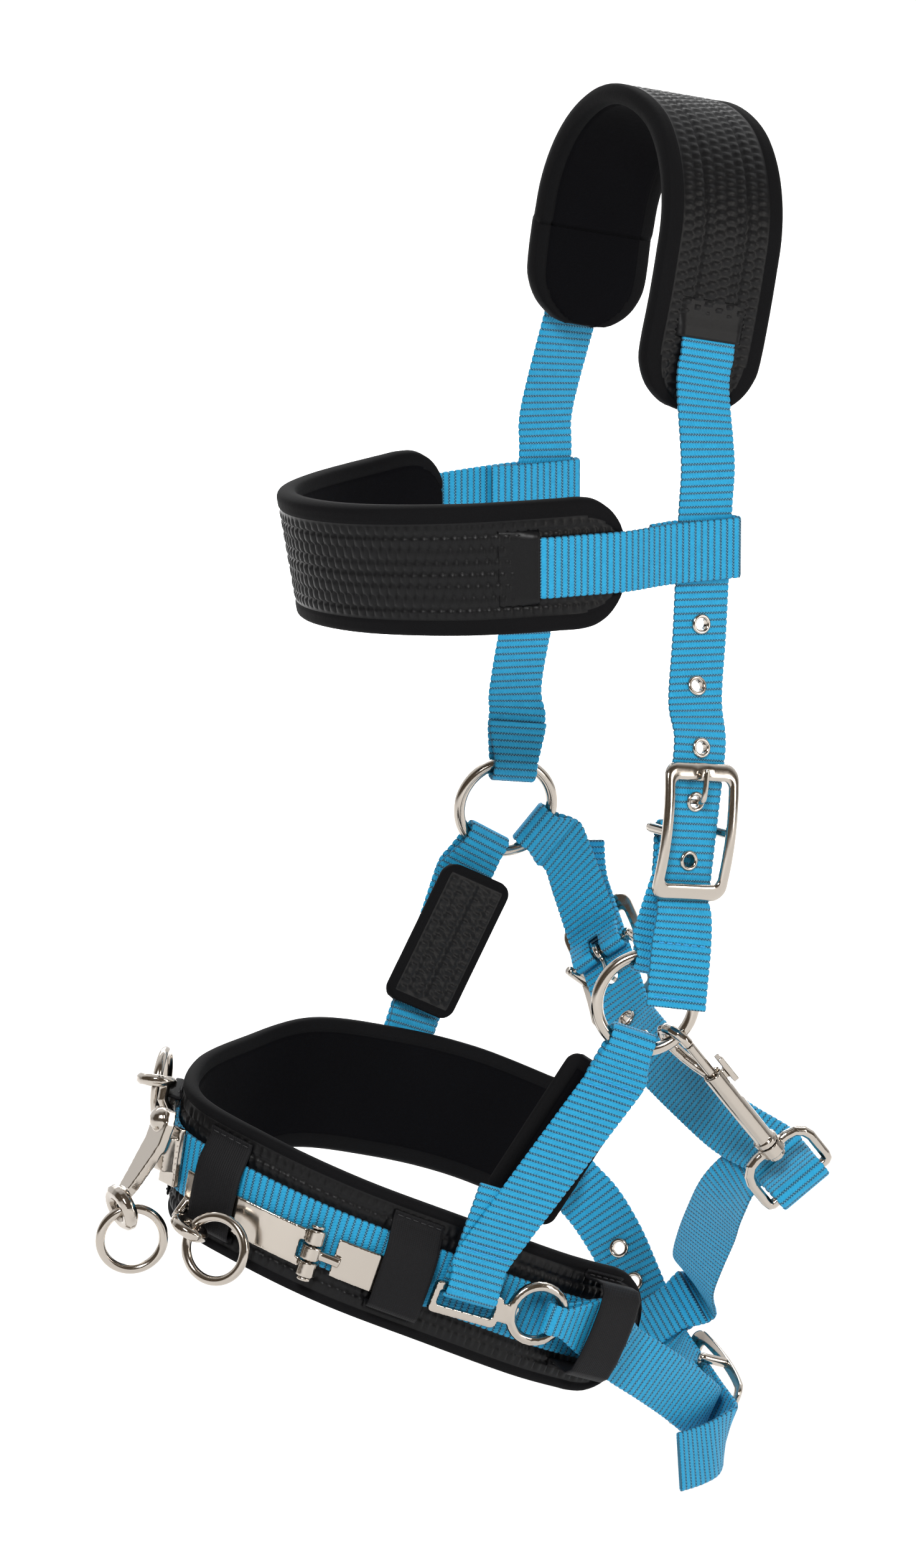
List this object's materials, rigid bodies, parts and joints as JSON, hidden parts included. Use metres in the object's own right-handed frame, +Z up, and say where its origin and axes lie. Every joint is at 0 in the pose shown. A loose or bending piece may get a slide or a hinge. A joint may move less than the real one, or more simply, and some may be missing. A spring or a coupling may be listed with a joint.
{
  "type": "head halter",
  "caption": "Padded nylon head halter with crown buckle, browband, padded noseband with a three-ring nose iron, cheek rings, chin and throat straps and a snap.",
  "frame": {"origin": "poll seat: the middle of the inside of the crown pad, where it lies on the head", "axes": "+Z up, -X towards the nose, -Y the buckle side (the near side), +Y the far side"},
  "size_m": [0.2917, 0.2144, 0.5752],
  "materials": {
    "crown_pad_lining_foam": "soft lining over foam",
    "crown_pad_cover_cover": "embossed synthetic",
    "crown_strap_webbing": "woven nylon",
    "crown_buckle_frame_nickel": "polished nickel",
    "crown_buckle_strap_webbing": "woven nylon",
    "crown_eyelet_1_nickel": "polished nickel",
    "crown_eyelet_2_nickel": "polished nickel",
    "crown_eyelet_3_nickel": "polished nickel",
    "crown_eyelet_4_nickel": "polished nickel",
    "crown_eyelet_5_nickel": "polished nickel",
    "crown_buckle_tongue_nickel": "polished nickel",
    "browband_lining_foam": "soft lining over foam",
    "browband_cover_cover": "embossed synthetic",
    "browband_strap_webbing": "woven nylon",
    "noseband_pad_cover": "embossed synthetic",
    "noseband_strap_webbing": "woven nylon",
    "centre_bracket_nickel": "polished nickel",
    "near_front_keeper_keeper": "flat ribbon",
    "near_middle_keeper_keeper": "flat ribbon",
    "near_rear_keeper_keeper": "flat ribbon",
    "near_iron_end_plate_nickel": "polished nickel",
    "near_iron_pin_nickel": "polished nickel",
    "near_side_fitting_nickel": "polished nickel",
    "near_cheek_strap_webbing": "woven nylon",
    "near_cheek_pad_cover": "embossed synthetic",
    "near_chin_strap_webbing": "woven nylon",
    "far_front_keeper_keeper": "flat ribbon",
    "far_middle_keeper_keeper": "flat ribbon",
    "far_rear_keeper_keeper": "flat ribbon",
    "far_iron_end_plate_nickel": "polished nickel",
    "far_iron_pin_nickel": "polished nickel",
    "far_side_fitting_nickel": "polished nickel",
    "far_cheek_strap_webbing": "woven nylon",
    "far_cheek_pad_cover": "embossed synthetic",
    "far_chin_strap_webbing": "woven nylon",
    "chin_buckle_frame_nickel": "polished nickel",
    "chin_eyelet_1_nickel": "polished nickel",
    "chin_eyelet_2_nickel": "polished nickel",
    "throat_buckle_frame_nickel": "polished nickel",
    "throat_buckle_strap_webbing": "woven nylon",
    "throat_strap_webbing": "woven nylon",
    "throat_eyelet_1_nickel": "polished nickel",
    "throat_eyelet_2_nickel": "polished nickel",
    "connector_strap_webbing": "woven nylon",
    "snap_body_nickel": "polished nickel",
    "near_ring_nickel": "polished nickel",
    "far_ring_nickel": "polished nickel",
    "near_iron_plate_nickel": "polished nickel",
    "far_iron_plate_nickel": "polished nickel",
    "near_nose_ring_nickel": "polished nickel",
    "far_nose_ring_nickel": "polished nickel",
    "centre_nose_ring_nickel": "polished nickel",
    "chin_buckle_tongue_nickel": "polished nickel",
    "throat_buckle_tongue_nickel": "polished nickel",
    "snap_bolt_nickel": "polished nickel",
    "snap_swivel_loop_nickel": "polished nickel"
  },
  "bodies": {
    "crown": {"crown_pad_lining": "crown_pad_lining_foam", "crown_pad_cover": "crown_pad_cover_cover", "crown_strap": "crown_strap_webbing", "crown_buckle_frame": "crown_buckle_frame_nickel", "crown_buckle_strap": "crown_buckle_strap_webbing", "crown_eyelet_1": "crown_eyelet_1_nickel", "crown_eyelet_2": "crown_eyelet_2_nickel", "crown_eyelet_3": "crown_eyelet_3_nickel", "crown_eyelet_4": "crown_eyelet_4_nickel", "crown_eyelet_5": "crown_eyelet_5_nickel"},
    "crown_tongue": {"crown_buckle_tongue": "crown_buckle_tongue_nickel"},
    "browband": {"browband_lining": "browband_lining_foam", "browband_cover": "browband_cover_cover", "browband_strap": "browband_strap_webbing"},
    "lower": {"noseband_pad": "noseband_pad_cover", "noseband_strap": "noseband_strap_webbing", "centre_bracket": "centre_bracket_nickel", "near_front_keeper": "near_front_keeper_keeper", "near_middle_keeper": "near_middle_keeper_keeper", "near_rear_keeper": "near_rear_keeper_keeper", "near_iron_end_plate": "near_iron_end_plate_nickel", "near_iron_pin": "near_iron_pin_nickel", "near_side_fitting": "near_side_fitting_nickel", "near_cheek_strap": "near_cheek_strap_webbing", "near_cheek_pad": "near_cheek_pad_cover", "near_chin_strap": "near_chin_strap_webbing", "far_front_keeper": "far_front_keeper_keeper", "far_middle_keeper": "far_middle_keeper_keeper", "far_rear_keeper": "far_rear_keeper_keeper", "far_iron_end_plate": "far_iron_end_plate_nickel", "far_iron_pin": "far_iron_pin_nickel", "far_side_fitting": "far_side_fitting_nickel", "far_cheek_strap": "far_cheek_strap_webbing", "far_cheek_pad": "far_cheek_pad_cover", "far_chin_strap": "far_chin_strap_webbing", "chin_buckle_frame": "chin_buckle_frame_nickel", "chin_eyelet_1": "chin_eyelet_1_nickel", "chin_eyelet_2": "chin_eyelet_2_nickel", "throat_buckle_frame": "throat_buckle_frame_nickel", "throat_buckle_strap": "throat_buckle_strap_webbing", "throat_strap": "throat_strap_webbing", "throat_eyelet_1": "throat_eyelet_1_nickel", "throat_eyelet_2": "throat_eyelet_2_nickel", "connector_strap": "connector_strap_webbing", "snap_body": "snap_body_nickel"},
    "near_ring": {"near_ring": "near_ring_nickel"},
    "far_ring": {"far_ring": "far_ring_nickel"},
    "near_iron": {"near_iron_plate": "near_iron_plate_nickel"},
    "far_iron": {"far_iron_plate": "far_iron_plate_nickel"},
    "near_nose_ring": {"near_nose_ring": "near_nose_ring_nickel"},
    "far_nose_ring": {"far_nose_ring": "far_nose_ring_nickel"},
    "centre_nose_ring": {"centre_nose_ring": "centre_nose_ring_nickel"},
    "chin_tongue": {"chin_buckle_tongue": "chin_buckle_tongue_nickel"},
    "throat_tongue": {"throat_buckle_tongue": "throat_buckle_tongue_nickel"},
    "snap_bolt": {"snap_bolt": "snap_bolt_nickel"},
    "snap_swivel": {"snap_swivel_loop": "snap_swivel_loop_nickel"}
  },
  "joints": [
    {"name": "lower_swing", "type": "hinge", "parent": "crown", "child": "lower", "pos_m": [-0.0475, -0.003, -0.3235], "axis": [0.1434, 0.9522, 0.2696], "range_deg": [-6, 8]},
    {"name": "browband_slide", "type": "slide", "parent": "crown", "child": "browband", "axis": [-0.0499, 0, -0.9988], "range_m": [-0.012, 0.008]},
    {"name": "crown_tongue_hinge", "type": "hinge", "parent": "crown", "child": "crown_tongue", "pos_m": [-0.043, -0.0865, -0.277], "axis": [0.9872, 0.0494, -0.1518], "range_deg": [0, 5]},
    {"name": "near_ring_turn", "type": "hinge", "parent": "lower", "child": "near_ring", "pos_m": [-0.06, -0.086, -0.347], "axis": [-0.3148, -0.9485, -0.035], "continuous": true},
    {"name": "far_ring_turn", "type": "hinge", "parent": "lower", "child": "far_ring", "pos_m": [-0.035, 0.08, -0.3], "axis": [0.223, 0.9601, 0.169], "continuous": true},
    {"name": "near_iron_hinge", "type": "hinge", "parent": "lower", "child": "near_iron", "pos_m": [-0.19547, -0.05334, -0.44206], "axis": [0.245, -0.1346, 0.9601], "range_deg": [-0.3, 0.6]},
    {"name": "far_iron_hinge", "type": "hinge", "parent": "lower", "child": "far_iron", "pos_m": [-0.18364, 0.05353, -0.39671], "axis": [0.2558, 0.1379, 0.9568], "range_deg": [-0.6, 0.6]},
    {"name": "near_nose_ring_swing", "type": "hinge", "parent": "near_iron", "child": "near_nose_ring", "pos_m": [-0.23443, -0.03182, -0.43593], "axis": [-0.7846, -0.5937, 0.1785], "range_deg": [-25, 25]},
    {"name": "far_nose_ring_swing", "type": "hinge", "parent": "far_iron", "child": "far_nose_ring", "pos_m": [-0.22456, 0.02529, -0.38501], "axis": [-0.7923, 0.5996, 0.1124], "range_deg": [-20, 20]},
    {"name": "centre_nose_ring_swing", "type": "hinge", "parent": "lower", "child": "centre_nose_ring", "pos_m": [-0.25183, 0, -0.43515], "axis": [0, 1, 0], "range_deg": [-8, 35]},
    {"name": "chin_tongue_hinge", "type": "hinge", "parent": "lower", "child": "chin_tongue", "pos_m": [0.0025, -0.012, -0.535], "axis": [-0.2857, 0.2748, -0.9181], "range_deg": [0, 7]},
    {"name": "throat_tongue_hinge", "type": "hinge", "parent": "lower", "child": "throat_tongue", "pos_m": [0.0045, 0.07, -0.365], "axis": [0.5891, -0.5438, 0.5977], "range_deg": [0, 7]},
    {"name": "snap_bolt_slide", "type": "slide", "parent": "lower", "child": "snap_bolt", "axis": [0.6439, 0.0519, -0.7633], "range_m": [0, 0.008], "stiffness_N_per_m": 150, "springref_m": -0.004},
    {"name": "snap_swivel_turn", "type": "hinge", "parent": "lower", "child": "snap_swivel", "pos_m": [-0.00526, -0.09294, -0.41198], "axis": [0.6439, 0.0519, -0.7633], "range_deg": [-5, 5]}
  ]
}
